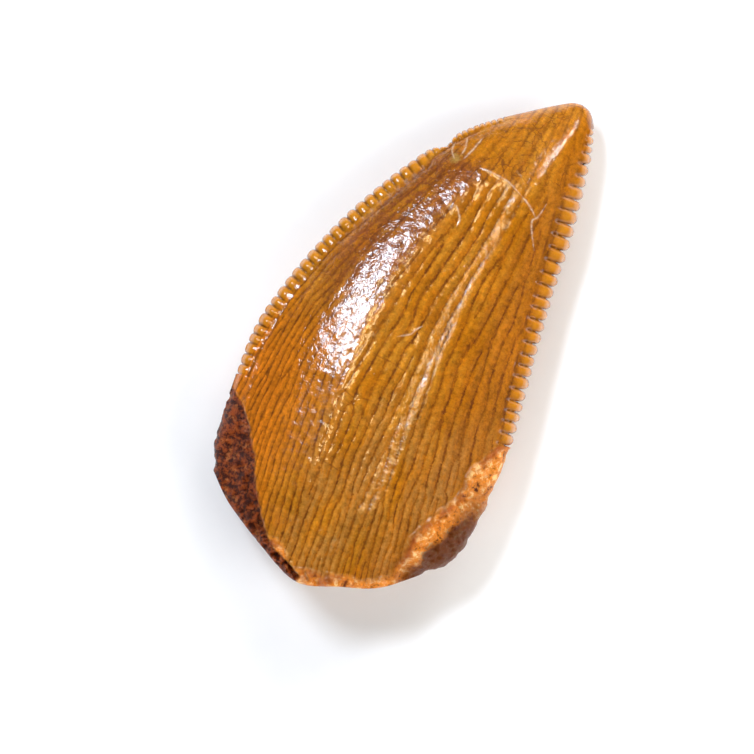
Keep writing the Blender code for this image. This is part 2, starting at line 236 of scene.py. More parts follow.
CRACK_OFFSETS = (0.0, 0.028, -0.028, 0.058, -0.058)
CRACK_CLEAR = 0.045
CRACK_MARGIN = 0.4
FAR_AWAY = 9.0

# The photograph's view: pixels to the millimetre, lean of the tooth and what it is centred on.
FRAME_PIXELS = 754
PIXELS_PER_MM = 26.0
LEAN = math.radians(28.0)
VIEW_CENTRE = (-0.473, -2.341)
VIEW_LEVEL = 1.8
LENS = 200.0
SENSOR = 36.0

FLOOR_HALF = 1.5

# Brightness of the surroundings: from this height of the direction to that, low to high.
WORLD_STRENGTH = (0.35, 0.80, 0.35, 0.03)


def smoothstep(low, high, value):
    """0 up to low, 1 from high on and an eased change between."""
    share = np.clip((value - low) / (high - low), 0.0, 1.0)
    return share * share * (3.0 - 2.0 * share)


def value_noise(x, y, seed):
    """Smooth noise from -1 to 1 with one random value to each unit cell corner."""
    size = NOISE_CELLS
    table = np.random.default_rng(seed).uniform(-1.0, 1.0, (size, size))
    column, row = np.floor(x).astype(int), np.floor(y).astype(int)
    fx, fy = x - column, y - row
    fx, fy = fx * fx * (3 - 2 * fx), fy * fy * (3 - 2 * fy)
    left, right = column % size, (column + 1) % size
    low, high = row % size, (row + 1) % size
    bottom = table[left, low] * (1 - fx) + table[right, low] * fx
    top = table[left, high] * (1 - fx) + table[right, high] * fx
    return bottom * (1 - fy) + top * fy


def rough_noise(x, y, size, seed, octaves=3):
    """Sum of finer and finer noise, each octave turned a little."""
    total = np.zeros_like(x, dtype=float)
    share = 1.0
    for octave in range(octaves):
        a = NOISE_TURN * (octave + 1)
        u = (x * math.cos(a) - y * math.sin(a)) / size
        v = (x * math.sin(a) + y * math.cos(a)) / size
        total += share * value_noise(u, v, seed + octave)
        share *= 0.5
        size *= 0.5
    return total


def smooth_path(points):
    """Dense line through the points (a Catmull-Rom curve), with its running length."""
    given = np.array(points, dtype=float)
    padded = np.vstack([2 * given[0] - given[1], given, 2 * given[-1] - given[-2]])
    t = np.linspace(0.0, 1.0, CURVE_STEPS, endpoint=False)[:, None]
    spans = []
    for p0, p1, p2, p3 in zip(padded, padded[1:], padded[2:], padded[3:]):
        linear = (p2 - p0) * t
        square = (2 * p0 - 5 * p1 + 4 * p2 - p3) * t ** 2
        cubic = (3 * p1 - p0 - 3 * p2 + p3) * t ** 3
        spans.append(0.5 * (2 * p1 + linear + square + cubic))
    line = np.vstack(spans + [given[-1:]])
    run = np.concatenate([[0.0], np.cumsum(np.linalg.norm(np.diff(line, axis=0), axis=1))])
    return line, run


class Edge:
    """One serrated edge: its smooth line, its serrations and places measured along it."""

    def __init__(self, points, outward_side, reach, pitch, lengths, cut, fade, swelling, seed):
        self.line, self.run = smooth_path(points)
        tangent = np.gradient(self.line, axis=0)
        tangent /= np.linalg.norm(tangent, axis=1)[:, None]
        self.tangent = tangent
        self.outward = outward_side * np.column_stack([-tangent[:, 1], tangent[:, 0]])
        self.lengths = lengths
        self.cut = cut
        self.fade = fade
        self.swelling = swelling
        rng = np.random.default_rng(seed)
        grooves = [reach[0]]
        while grooves[-1] < reach[1]:
            step = float(np.interp(grooves[-1], *pitch))
            grooves.append(grooves[-1] + step * (1.0 + PITCH_JITTER * rng.uniform(-1.0, 1.0)))
        self.grooves = np.array(grooves)
        self.size = rng.uniform(*SIZE_RANGE, len(grooves))

    def at(self, length):
        """Points of the smooth line at distances along it."""
        return np.column_stack([np.interp(length, self.run, self.line[:, axis]) for axis in (0, 1)])

    def serration(self, length):
        """Place across a serration from -1 to 1, its own size, and 1 where there are any."""
        index = np.searchsorted(self.grooves, length, side="right") - 1
        inside = (index >= 0) & (index < len(self.grooves) - 1)
        index = np.clip(index, 0, len(self.grooves) - 2)
        low, high = self.grooves[index], self.grooves[index + 1]
        return 2.0 * (length - low) / (high - low) - 1.0, self.size[index], inside

    def scallop(self, length):
        """How far the outline is cut in from the tops of the serrations."""
        place, size, inside = self.serration(length)
        lobe = np.sqrt(1.0 - np.abs(np.clip(place, -1.0, 1.0)) ** 2.1)
        pitch = np.interp(length, self.grooves[:-1], np.diff(self.grooves))
        depth = self.cut * np.clip(pitch / USUAL_PITCH, 0.4, 1.2)
        return np.where(inside, depth * (1.0 - lobe * (0.78 + 0.22 * size)), 0.0)

    def places(self, x, y):
        """Distance along the edge and inwards from it, for points near it."""
        points = np.column_stack([x, y])
        along, inset = np.empty(len(points)), np.empty(len(points))
        for start in range(0, len(points), BATCH):
            part = slice(start, start + BATCH)
            gap = points[part, None, :] - self.line[None, :, :]
            nearest = np.argmin((gap ** 2).sum(axis=2), axis=1)
            offset = points[part] - self.line[nearest]
            along[part] = self.run[nearest] + (offset * self.tangent[nearest]).sum(axis=1)
            inset[part] = -(offset * self.outward[nearest]).sum(axis=1)
        return along, inset


MESIAL = Edge(MESIAL_EDGE, 1, **MESIAL_SERRATIONS)
DISTAL = Edge(DISTAL_EDGE, -1, **DISTAL_SERRATIONS)
BASE_LINE, BASE_RUN = smooth_path(BASE_EDGE)


def chord(y):
    """Left end and width of the crown at each height up the tooth."""
    left = np.interp(y, MESIAL.line[:, 1], MESIAL.line[:, 0])
    right = np.interp(y, DISTAL.line[:, 1], DISTAL.line[:, 0])
    return left, np.maximum(right - left, 1e-6)


def across(x, y):
    """Place across the crown, 0 at the mesial edge and 1 at the distal edge, and the width."""
    left, width = chord(y)
    return np.clip((x - left) / width, 0.0, 1.0), width


def edge_height(y):
    """Height of the plane that holds both serrated edges."""
    return EDGE_HEIGHT - EDGE_PITCH * (y - BALANCE_Y)


def rim_gap(x, y):
    """Distance up from the rim of the broken base."""
    return y - np.interp(x, BASE_LINE[:, 0], BASE_LINE[:, 1])


def rim_factor(x, y):
    """Share of the thickness that is left where the faces round over into the base."""
    share = np.clip(rim_gap(x, y) / RIM_ROUND, 0.0, 1.0)
    return RIM_SHARE + (1.0 - RIM_SHARE) * np.sqrt(1.0 - (1.0 - share) ** 2)


def section_heights(tilts):
    """Heights over places across the width, level again at the distal edge."""
    u = np.linspace(0.0, 1.0, SECTION_STEPS + 1)
    slope = np.tan(np.radians(np.interp(u, *tilts)))
    steps = 0.5 * (slope[1:] + slope[:-1]) * (u[1] - u[0])
    falling = 0.5 * (u[1:] + u[:-1]) > CREST_U
    steps[falling] *= -steps[~falling].sum() / steps[falling].sum()
    return u, np.concatenate([[0.0], np.cumsum(steps)])


CROWN_SECTION = section_heights(CROWN_TILT)
TIP_SECTION = section_heights(TIP_TILT)


def outer_section(u, y):
    """Height of the outer face as a share of the width."""
    share = smoothstep(*TIP_BLEND_Y, y)
    drift = BAND_DRIFT * smoothstep(*BAND_DRIFT_Y, y)
    u = u - drift * np.exp(-((u - BAND_U) / BAND_SPREAD) ** 2)
    return (1.0 - share) * np.interp(u, *CROWN_SECTION) + share * np.interp(u, *TIP_SECTION)


def edge_body(u, width):
    """Thickness that keeps the edges blunt."""
    inset = np.minimum(u, 1.0 - u) * width
    body = EDGE_THICKNESS * (1.0 - np.exp(-(inset / EDGE_ROUND) ** 2))
    return body * np.minimum(1.0, width / 2.0)


def dentine_share(x, y):
    """1 on the bare dentine of the lower mesial corner, 0 on enamel."""
    wander = 0.10 * rough_noise(x, y, 0.5, 301)
    gap = np.interp(y, *DENTINE_LIMIT) - x + wander
    return smoothstep(-LIMIT_SOFTNESS / 2, LIMIT_SOFTNESS / 2, gap)


def crust_gap(x, y):
    """How far inside the crust a point lies, in millimetres."""
    wander = 0.12 * rough_noise(x, y, 0.6, 317)
    gap = x - np.interp(y, *CRUST_LIMIT) + wander
    rim = 0.46 + 0.20 * rough_noise(x, y, 0.7, 331) - rim_gap(x, y)
    return np.maximum(gap, np.where(x > -1.6, rim, -1.0))


def crust_share(x, y):
    """1 on the crust of the lower distal corner and the rim, 0 on enamel."""
    return smoothstep(-LIMIT_SOFTNESS, LIMIT_SOFTNESS, crust_gap(x, y))


def growth_place(x, y):
    """Place across the growth lines, in millimetres where the crown is widest."""
    wavy = 0.024 * rough_noise(x, y, 0.9, 401, 2) + 0.014 * rough_noise(2.0 * x, y, 0.28, 409, 2)
    left = np.interp(y, *GROWTH_LEFT)
    right = np.interp(y, *GROWTH_RIGHT)
    return GROWTH_SPAN * (x + wavy - left) / (right - left)


def ridge_waves(x, y, seed):
    """Cosine and sine of the ridges' phase: short wave packets that merge and part."""
    s = growth_place(x, y)
    rng = np.random.default_rng(seed)
    real, imaginary = np.zeros_like(s), np.zeros_like(s)
    for kt in np.arange(*PACKETS_Y, PACKET_ALONG):
        stretch = GROWTH_SPAN / float(np.interp(kt, *GROWTH_RIGHT) - np.interp(kt, *GROWTH_LEFT))
        left, width = chord(kt)
        step = PACKET_ACROSS * stretch
        for ks in np.arange(*PACKETS_ACROSS, step):
            ct = kt + PACKET_ALONG * rng.uniform(-0.5, 0.5)
            cs = ks + step * rng.uniform(-0.5, 0.5)
            phase = rng.uniform(0.0, 2.0 * math.pi)
            tilt = rng.normal(0.0, PACKET_TILT)
            centre_x = np.interp(ct, *GROWTH_LEFT) + cs / stretch
            u = float(np.clip((centre_x - left) / width, 0.0, 1.0))
            period = float(np.interp(ct, *RIDGE_PERIOD) * np.interp(u, *RIDGE_NARROWING))
            period *= stretch
            ds, dt = s - cs, y - ct
            near = (np.abs(ds) < PACKET_REACH * step) & (np.abs(dt) < PACKET_REACH * PACKET_ALONG)
            ds, dt = ds[near], dt[near]
            weight = np.exp(-0.5 * (ds / step) ** 2 - 0.5 * (dt / PACKET_ALONG) ** 2)
            angle = 2.0 * math.pi * (ds + tilt * dt) / period + phase
            real[near] += weight * np.cos(angle)
            imaginary[near] += weight * np.sin(angle)
    amount = np.maximum(np.hypot(real, imaginary), 1e-6)
    return real / amount, imaginary / amount


def serration_relief(edge, x, y, width):
    """Relief, share and dark lines of the serrations of one edge."""
    relief, share, line = np.zeros_like(x), np.zeros_like(x), np.zeros_like(x)
    left, _ = chord(y)
    gap = (x - left) if edge is MESIAL else (left + width - x)
    near = np.flatnonzero(gap < LONGEST_SERRATION)
    along, inset = edge.places(x[near], y[near])
    place, size, inside = edge.serration(along)
    place = np.clip(place, -1.0, 1.0)
    reach = np.interp(along, *edge.lengths) * (0.9 + 0.1 * size)
    reach *= np.clip(width[near] / 3.0, 0.35, 1.0)
    depth = np.clip(inset / reach, 0.0, 2.0)
    pitch = np.interp(along, edge.grooves[:-1], np.diff(edge.grooves))
    scale = np.clip(pitch / USUAL_PITCH, 0.3, 1.2) * inside
    round_top = np.sqrt(1.0 - place ** 2)
    strength = smoothstep(1.10, edge.fade, depth)
    bulb = 1.0 + edge.swelling * np.exp(-((inset - 0.20) / 0.20) ** 2)
    end = np.sqrt(np.clip(1.0 - np.clip(1.0 - inset / 0.14, 0.0, 1.0) ** 2, 0.0, 1.0))
    relief[near] = scale * SERRATION_RELIEF * size * strength * (bulb * round_top * end - 0.80)
    share[near] = smoothstep(1.12, 0.30, depth) * inside
    wander = 0.5 + 0.5 * rough_noise(x[near], y[near], 0.9, 351, 2)
    ring = np.exp(-((inset - reach * 1.03) / 0.045) ** 2) * inside
    ring *= smoothstep(0.30, 0.80, wander)
    open_share = np.clip(0.34 - 0.26 * depth, 0.10, 0.34)
    cut = np.exp(-((1.0 - np.abs(place)) / open_share) ** 2) * strength * inside
    line[near] = np.maximum(ring, cut)
    relief[near] -= GROOVE_LINE_DEPTH * ring * scale
    return relief, share, line


def outer_surface(x, y, ridge, cracks):
    """Height of the outer face and the shares that its finish goes by."""
    u, width = across(x, y)
    height = width * outer_section(u, y) * rim_factor(x, y) + edge_body(u, width)
    bare, crust = dentine_share(x, y), crust_share(x, y)
    body = np.minimum(1.0, np.minimum(4.0 * u, 4.0 * (1.0 - u) + 0.5 * crust))
    lumps = rough_noise(x, y, LUMP_SIZE, 501, 3)
    nodules = 1.0 - np.abs(rough_noise(x, y, NODULE_SIZES[0], 521, 2))
    nodules -= 0.6 * np.abs(rough_noise(x, y, NODULE_SIZES[1], 523, 1))
    height += bare * (DENTINE_LUMPS * (lumps + 0.6 * nodules) - DENTINE_DROP) * body
    height += crust * (CRUST_LUMPS * (0.5 * lumps + nodules) + CRUST_RISE) * body
    serrated = np.zeros_like(x)
    dark = np.zeros_like(x)
    for edge in (MESIAL, DISTAL):
        relief, share, line = serration_relief(edge, x, y, width)
        keep = 1.0 - np.maximum(bare, crust)
        height += relief * keep * smoothstep(0.0, 0.08, np.minimum(u, 1.0 - u) * width)
        serrated = np.maximum(serrated, share * keep)
        dark = np.maximum(dark, line * keep)
    plain = (1.0 - bare) * (1.0 - crust) * (1.0 - serrated)
    rounded = np.sqrt(0.5 + 0.5 * ridge[0] + 0.02)
    calm = (1.0 - 0.75 * smoothstep(5.5, 8.5, y)) * (0.15 + 0.85 * smoothstep(0.26, 0.44, u))
    height += RIDGE_RELIEF * (rounded - 0.7) * plain * calm
    height += UNEVENNESS * rough_noise(x, y, 0.35, 541, 3)
    height += SCRATCH_RISE * cracks[0] - CRACK_DROP * cracks[1]
    return edge_height(y) + np.maximum(height, LEAST_THICKNESS), bare, crust, serrated, dark


def inner_surface(x, y, ridge):
    """Height of the inner face, worn flat where the tooth rests."""
    u, width = across(x, y)
    section = (4.0 * u * (1.0 - u)) ** INNER_EXPONENT
    depth = INNER_FULLNESS * width * section * rim_factor(x, y) + edge_body(u, width)
    bare, crust = dentine_share(x, y), crust_share(x, y)
    serrated = np.zeros_like(x)
    dark = np.zeros_like(x)
    for edge in (MESIAL, DISTAL):
        relief, share, line = serration_relief(edge, x, y, width)
        depth += 0.8 * relief * smoothstep(0.0, 0.10, np.minimum(u, 1.0 - u) * width)
        serrated = np.maximum(serrated, share)
        dark = np.maximum(dark, line)
    rounded = np.sqrt(0.5 + 0.5 * ridge[0] + 0.02)
    depth += 0.7 * RIDGE_RELIEF * (rounded - 1.0) * (1.0 - serrated) * np.minimum(1.0, width / 6.0)
    pits = 0.7 + rough_noise(x, y, INNER_PIT_SIZE, 547, 2)
    drop = INNER_BARE_DROP * bare + INNER_CRUST_DROP * crust
    depth -= drop * pits * np.minimum(1.0, 5.0 * np.minimum(u, 1.0 - u))
    return np.maximum(edge_height(y) - depth, 0.0), bare, crust, serrated, dark


def outline():
    """Closed outline from the mesial base corner: base rim, distal edge, tip, mesial edge."""
    count = int(BASE_RUN[-1] / OUTLINE_STEP)
    rim_length = np.linspace(0.0, BASE_RUN[-1], count + 1)
    rim = np.column_stack([np.interp(rim_length, BASE_RUN, BASE_LINE[:, axis]) for axis in (0, 1)])
    sides = []
    for edge in (DISTAL, MESIAL):
        length = np.linspace(0.0, edge.run[-1], int(edge.run[-1] / OUTLINE_STEP))
        length = np.unique(np.concatenate([length, edge.grooves]))
        keep = np.concatenate([[True], np.diff(length) > 0.012])
        length = length[keep]
        point = edge.at(length)
        outward = np.column_stack([np.interp(length, edge.run, edge.outward[:, k]) for k in (0, 1)])
        inset = edge.scallop(length)
        if edge is MESIAL:
            inset += CHIP_DEPTH * np.exp(-((point[:, 1] - CHIP_Y) / CHIP_SPREAD) ** 2)
        inner = point - 0.4 * outward
        rough = np.maximum(dentine_share(*inner.T), crust_share(*inner.T))
        inset += EDGE_WEAR * rough * (0.5 + 0.5 * rough_noise(point[:, 0], point[:, 1], 0.4, 601))
        inset *= smoothstep(0.0, 0.2, length) * smoothstep(0.0, 0.2, edge.run[-1] - length)
        sides.append(point - inset[:, None] * outward)
    distal, mesial = sides
    ring = np.vstack([rim, distal[1:], mesial[-2:0:-1]])
    return ring, len(rim)


def crack_points(routes):
    """Points on and beside each crack, so that the mesh follows it."""
    points = []
    for route in routes:
        line, run = smooth_path(route)
        length = np.linspace(0.0, run[-1], max(3, int(run[-1] / CRACK_STEP)))
        place = np.column_stack([np.interp(length, run, line[:, axis]) for axis in (0, 1)])
        tangent = np.gradient(place, axis=0)
        tangent /= np.linalg.norm(tangent, axis=1)[:, None]
        normal = np.column_stack([-tangent[:, 1], tangent[:, 0]])
        points += [place + offset * normal for offset in CRACK_OFFSETS]
    return np.vstack(points)


def crack_distance(x, y, routes):
    """Distance to the nearest of some cracks, for every point."""
    nearest = np.full(len(x), FAR_AWAY)
    for route in routes:
        line, _ = smooth_path(route)
        low, high = line.min(axis=0) - CRACK_MARGIN, line.max(axis=0) + CRACK_MARGIN
        near = np.flatnonzero((x > low[0]) & (x < high[0]) & (y > low[1]) & (y < high[1]))
        gap = np.hypot(x[near, None] - line[None, :, 0], y[near, None] - line[None, :, 1])
        taper = 0.03 * np.abs(np.linspace(-1.0, 1.0, len(line))) ** 4
        nearest[near] = np.minimum(nearest[near], (gap + taper).min(axis=1))
    return nearest


def nearest_gap(points, others):
    """Distance from each point to the nearest of the others."""
    gaps = np.empty(len(points))
    others = others[None].astype(np.float32)
    for start in range(0, len(points), BATCH):
        part = points[start:start + BATCH, None, :].astype(np.float32)
        squares = ((part - others) ** 2).sum(axis=2)
        gaps[start:start + BATCH] = np.sqrt(squares.min(axis=1))
    return gaps


def lattice(ring, step, seed, extra=None):
    """Points on a triangular lattice inside the outline, a little shaken."""
    low, high = ring.min(axis=0), ring.max(axis=0)
    following = np.roll(ring, -1, axis=0)
    rng = np.random.default_rng(seed)
    rows = []
    for number, y in enumerate(np.arange(low[1], high[1], step * math.sqrt(0.75))):
        crosses = (ring[:, 1] > y) != (following[:, 1] > y)
        if not crosses.any():
            continue
        a, b = ring[crosses], following[crosses]
        cuts = np.sort(a[:, 0] + (y - a[:, 1]) / (b[:, 1] - a[:, 1]) * (b[:, 0] - a[:, 0]))
        x = np.arange(low[0] + 0.5 * step * (number % 2), high[0], step)
        x = x[np.searchsorted(cuts, x) % 2 == 1]
        rows.append(np.column_stack([x, np.full(len(x), y)]))
    points = np.vstack(rows)
    points += rng.uniform(-LATTICE_SHAKE, LATTICE_SHAKE, points.shape) * step
    points = points[nearest_gap(points, ring) > RING_CLEAR * min(step, CLEAR_STEP)]
    if extra is not None:
        points = points[nearest_gap(points, extra) > CRACK_CLEAR]
        points = np.vstack([points, extra])
    return points


def triangulate(ring, inner):
    """Triangles over the outline and the points in it, as indices into both."""
    points = [Vector(point) for point in np.vstack([ring, inner])]
    result = geometry.delaunay_2d_cdt(points, [], [list(range(len(ring)))], 1, 1e-6)
    faces, origins = result[2], result[3]
    source = [origin[0] for origin in origins]
    return [tuple(source[corner] for corner in face) for face in faces]


def base_wall(rim_x, rim_y, high, low):
    """The broken base between the two faces' rims: level by level, hollowed and lumpy."""
    share = np.linspace(0.0, 1.0, len(rim_x))
    middle = (4.0 * share * (1.0 - share)) ** BASE_HOLLOW_EXPONENT
    levels = []
    for ring in np.linspace(1.0, -1.0, BASE_LEVELS + 1)[1:-1]:
        z = low + (high - low) * (0.5 + 0.5 * ring)
        hollow = BASE_HOLLOW * (1.0 - ring ** 2) * middle
        open_share = (1.0 - ring ** 4) * middle
        rough = BASE_LUMPS * rough_noise(rim_x + 40.0, z, 0.8, 701, 4) * open_share
        levels.append(np.column_stack([rim_x, rim_y + np.maximum(hollow + rough, 0.0), z]))
    return levels


def make_tooth():
    """The whole tooth as one closed mesh, with the shares its finish goes by on each vertex.

    Both faces cover the same outline and share its vertices, except along the rim of the
    base. There each face has its own, and the wall of the broken base lies between them.
    """
    ring, rim_count = outline()
    cracks = crack_points(WHITE_CRACKS + BROWN_CRACKS)
    outer_points = lattice(ring, OUTER_STEP, OUTER_SEED, cracks)
    inner_points = lattice(ring, INNER_STEP, INNER_SEED)
    outer_faces = triangulate(ring, outer_points)
    inner_faces = triangulate(ring, inner_points)

    rows = []
    attributes = {name: [] for name in ("waves", "flow", "place", "zone", "mark")}
    for side, inside in ((1.0, outer_points), (-1.0, inner_points)):
        points = np.vstack([ring, inside])
        x, y = points.T
        waves = ridge_waves(x, y, RIDGE_SEEDS[side])
        white = np.exp(-(crack_distance(x, y, WHITE_CRACKS) / WHITE_WIDTH) ** 2) * (side > 0)
        brown = np.exp(-(crack_distance(x, y, BROWN_CRACKS) / BROWN_WIDTH) ** 2) * (side > 0)
        if side > 0:
            surface = outer_surface(x, y, waves, (white, brown))
        else:
            surface = inner_surface(x, y, waves)
        z, bare, crust, serrated, dark = surface
        z[rim_count:len(ring)] = edge_height(y[rim_count:len(ring)])
        z[0] = edge_height(y[0])
        z[rim_count - 1] = edge_height(y[rim_count - 1])
        rows.append(np.column_stack([x, y, z]))
        attributes["waves"].append(np.column_stack([*waves, np.clip(crust_gap(x, y), -1.0, 1.0)]))
        attributes["flow"].append(np.column_stack([growth_place(x, y), y, across(x, y)[0]]))
        attributes["place"].append(np.column_stack([x, y, z + FACE_SHIFT * side]))
        attributes["zone"].append(np.column_stack([bare, crust, serrated]))
        attributes["mark"].append(np.column_stack([white, brown, dark]))

    outer_rows, inner_rows = rows
    rim = outer_rows[:rim_count]
    wall = base_wall(rim[:, 0], rim[:, 1], rim[:, 2], inner_rows[:rim_count, 2])
    wall_rows = np.vstack([level[1:-1] for level in wall])
    flat = np.zeros(len(wall_rows))
    attributes["waves"].append(np.column_stack([flat + 1.0, flat, flat + 1.0]))
    along_wall, down_wall = wall_rows[:, 0] + WALL_SHIFT[0], wall_rows[:, 2] + WALL_SHIFT[1]
    flow = np.column_stack([along_wall, down_wall, flat + 0.5])
    attributes["flow"].append(flow)
    attributes["place"].append(wall_rows)
    attributes["zone"].append(np.column_stack([flat + WALL_BARE, flat + 1.0 - WALL_BARE, flat]))
    attributes["mark"].append(np.column_stack([flat, flat, flat]))

    shared = np.ones(len(ring), dtype=bool)
    shared[1:rim_count - 1] = False
    outer_count = len(outer_rows)
    inner_index = np.empty(len(inner_rows), dtype=int)
    inner_index[:len(ring)][shared] = np.flatnonzero(shared)
    own = np.concatenate([np.flatnonzero(~shared), np.arange(len(ring), len(inner_rows))])
    inner_index[own] = outer_count + np.arange(len(own))
    wall_start = outer_count + len(own)
    points = np.vstack([outer_rows, inner_rows[own], wall_rows])
    low, high = (np.array(corner) / MM for corner in cad_box)
    points = np.clip(points, low + BOX_CLEAR, high - BOX_CLEAR)
    for name, parts in attributes.items():
        attributes[name] = np.vstack([parts[0], parts[1][own], parts[2]])

    faces = list(outer_faces)
    faces += [tuple(int(inner_index[corner]) for corner in reversed(face)) for face in inner_faces]
    chains = [list(range(rim_count))]
    inside = rim_count - 2
    for level in range(len(wall)):
        first = wall_start + level * inside
        chains.append([0] + list(range(first, first + inside)) + [rim_count - 1])
    chains.append([int(inner_index[k]) for k in range(rim_count)])
    for upper, lower in zip(chains, chains[1:]):
        for k in range(rim_count - 1):
            quad = (upper[k], lower[k], lower[k + 1], upper[k + 1])
            corners = list(dict.fromkeys(quad))
            if len(corners) > 2:
                faces.append(tuple(corners))

    mesh = bpy.data.meshes.new("fossil_tooth")
    mesh.from_pydata((points * MM).tolist(), [], faces)
    for name, values in attributes.items():
        layer = mesh.attributes.new(name, "FLOAT_VECTOR", "POINT")
        layer.data.foreach_set("vector", values.astype(np.float32).ravel())
    mesh.shade_smooth()
    tooth = bpy.data.objects.new("fossil_tooth", mesh)
    bpy.context.scene.collection.objects.link(tooth)
    return tooth


class Nodes:
    """Short calls for building a material's node tree."""

    def __init__(self, name):
        self.material = bpy.data.materials.new(name)
        self.material.use_nodes = True
        self.tree = self.material.node_tree
        self.shader = self.tree.nodes["Principled BSDF"]

    def add(self, kind, output, inputs, **settings):
        node = self.tree.nodes.new(kind)
        for key, value in settings.items():
            setattr(node, key, value)
        for key, value in inputs.items():
            self.put(node.inputs[key], value)
        return node.outputs[output]

    def put(self, socket, value):
        if isinstance(value, bpy.types.NodeSocket):
            self.tree.links.new(value, socket)
        elif isinstance(value, tuple) and socket.type == "RGBA":
            socket.default_value = (*value, 1.0)
        else:
            socket.default_value = value

    def math(self, operation, *values, clamp=False):
        inputs = dict(enumerate(values))
        return self.add("ShaderNodeMath", 0, inputs, operation=operation, use_clamp=clamp)

    def vector(self, name):
        return self.add("ShaderNodeAttribute", "Vector", {}, attribute_name=name)

    def parts(self, vector):
        node = self.tree.nodes.new("ShaderNodeSeparateXYZ")
        self.tree.links.new(vector, node.inputs[0])
        return node.outputs[0], node.outputs[1], node.outputs[2]

    def join(self, x, y, z):
        return self.add("ShaderNodeCombineXYZ", 0, {0: x, 1: y, 2: z})

    def ease(self, value, low, high):
        inputs = {"Value": value, "From Min": low, "From Max": high, "To Min": 0.0, "To Max": 1.0}
        return self.add("ShaderNodeMapRange", 0, inputs, interpolation_type="SMOOTHSTEP")

    def noise(self, vector, scale, detail=3.0, roughness=0.55):
        inputs = {"Vector": vector, "Scale": scale, "Detail": detail, "Roughness": roughness}
        return self.add("ShaderNodeTexNoise", "Fac", inputs)

    def cells(self, vector, scale, feature="DISTANCE_TO_EDGE", output="Distance"):
        inputs = {"Vector": vector, "Scale": scale}
        return self.add("ShaderNodeTexVoronoi", output, inputs, feature=feature)

    def mix(self, share, first, second, blend="MIX"):
        node = self.tree.nodes.new("ShaderNodeMix")
        node.data_type = "RGBA"
        node.blend_type = blend
        self.put(node.inputs["Factor"], share)
        self.put(node.inputs[6], first)
        self.put(node.inputs[7], second)
        return node.outputs[2]

    def blend(self, share, first, second):
        """Number between two others."""
        inputs = {"Value": share, "From Min": 0.0, "From Max": 1.0, "To Min": first, "To Max": second}
        return self.add("ShaderNodeMapRange", 0, inputs)

    def bump(self, height, distance, normal=None):
        inputs = {"Height": height, "Distance": distance, "Strength": 1.0}
        if normal is not None:
            inputs["Normal"] = normal
        return self.add("ShaderNodeBump", 0, inputs)


# Colours of the enamel, the dentine, the crust and the marks.
HONEY = (0.42, 0.147, 0.004)
HONEY_PALE = (0.46, 0.188, 0.014)
TAN = (0.37, 0.165, 0.034)
AMBER = (0.40, 0.117, 0.003)
# Darker amber of the distal side: partly the enamel's tone and partly painted shade.
DISTAL_AMBER_AND_SHADE = (0.31, 0.092, 0.003)
ORANGE = (0.56, 0.150, 0.007)
STAIN = (0.165, 0.044, 0.016)
# Colour of the ridges' flanks: partly their own tone and partly painted shade.
RIDGE_FLANK_TONE_AND_SHADE = (0.235, 0.068, 0.003)
GROOVE = (0.115, 0.030, 0.005)
TOOTH_END = (0.56, 0.215, 0.010)
DENTINE = (0.036, 0.005, 0.002)
DENTINE_RED = (0.29, 0.052, 0.008)
DENTINE_PALE = (0.50, 0.150, 0.035)
CRUST = (0.74, 0.235, 0.024)
# Pale colour of the crust's lumps: partly its tone and partly painted highlight.
CRUST_PALE_AND_HIGHLIGHT = (1.0, 0.64, 0.26)
# Dark colour of the crust: partly the tone of its pits, partly painted shade in them, and painted shade
# on its outer side.
CRUST_DARK_AND_SHADE = (0.075, 0.013, 0.003)
MARGIN_RED = (0.30, 0.060, 0.012)
WHITE_MARK = (0.80, 0.62, 0.44)
BROWN_MARK = (0.13, 0.034, 0.006)
PATCH_YELLOW = (0.40, 0.27, 0.07)

# Middle of the yellow patch, in the mesh's own "place" values.
PATCH = (-1.74, 6.46, 9.34)

# Patterns along the growth lines are this share as fine as those across them.
LINE_STRETCH = 0.20
BUMP_DISTANCE = 0.0000045
SHADER_CONSTANTS = {
    "Coat Roughness": 0.12,
    "Coat IOR": 1.62,
    "IOR": 1.45,
    "Specular IOR Level": 0.06,
    "Subsurface Weight": 0.10,
    "Subsurface Radius": (1.0, 0.45, 0.12),
    "Subsurface Scale": 0.0003,
}


class Patterns:
    """What the mesh carries for its finish, and the patterns that several parts of it share."""

    def __init__(self, n):
        self.cosine, self.sine, self.inward = n.parts(n.vector("waves"))
        growth, self.height, self.u = n.parts(n.vector("flow"))
        self.place = n.vector("place")
        self.bare, self.crust, self.serrated = n.parts(n.vector("zone"))
        self.white, self.brown, self.dark = n.parts(n.vector("mark"))
        self.long_place = n.join(growth, n.math("MULTIPLY", self.height, LINE_STRETCH), self.u)
        self.plain = n.math("SUBTRACT", 1.0, self.serrated)
        self.tip = n.ease(self.height, 4.5, 8.5)
        self.left = n.ease(self.u, 0.40, 0.22)
        self.streak = n.noise(self.long_place, 3.4, 4.0, 0.65)
        self.broken = n.noise(self.place, 5.5, 3.0, 0.60)
        self.mottle = n.noise(self.place, 4.0, 4.0, 0.65)
        self.grain = n.noise(self.place, 4.6, 5.0, 0.72)
        self.lumps = n.noise(self.place, 2.6, 6.0, 0.72)
        shift = n.join(n.noise(self.place, 1.5), n.noise(self.place, 1.3), 0.0)
        self.bent = n.add("ShaderNodeVectorMath", 0, {0: self.place, 1: shift})
        self.netting = n.cells(self.bent, 5.6)


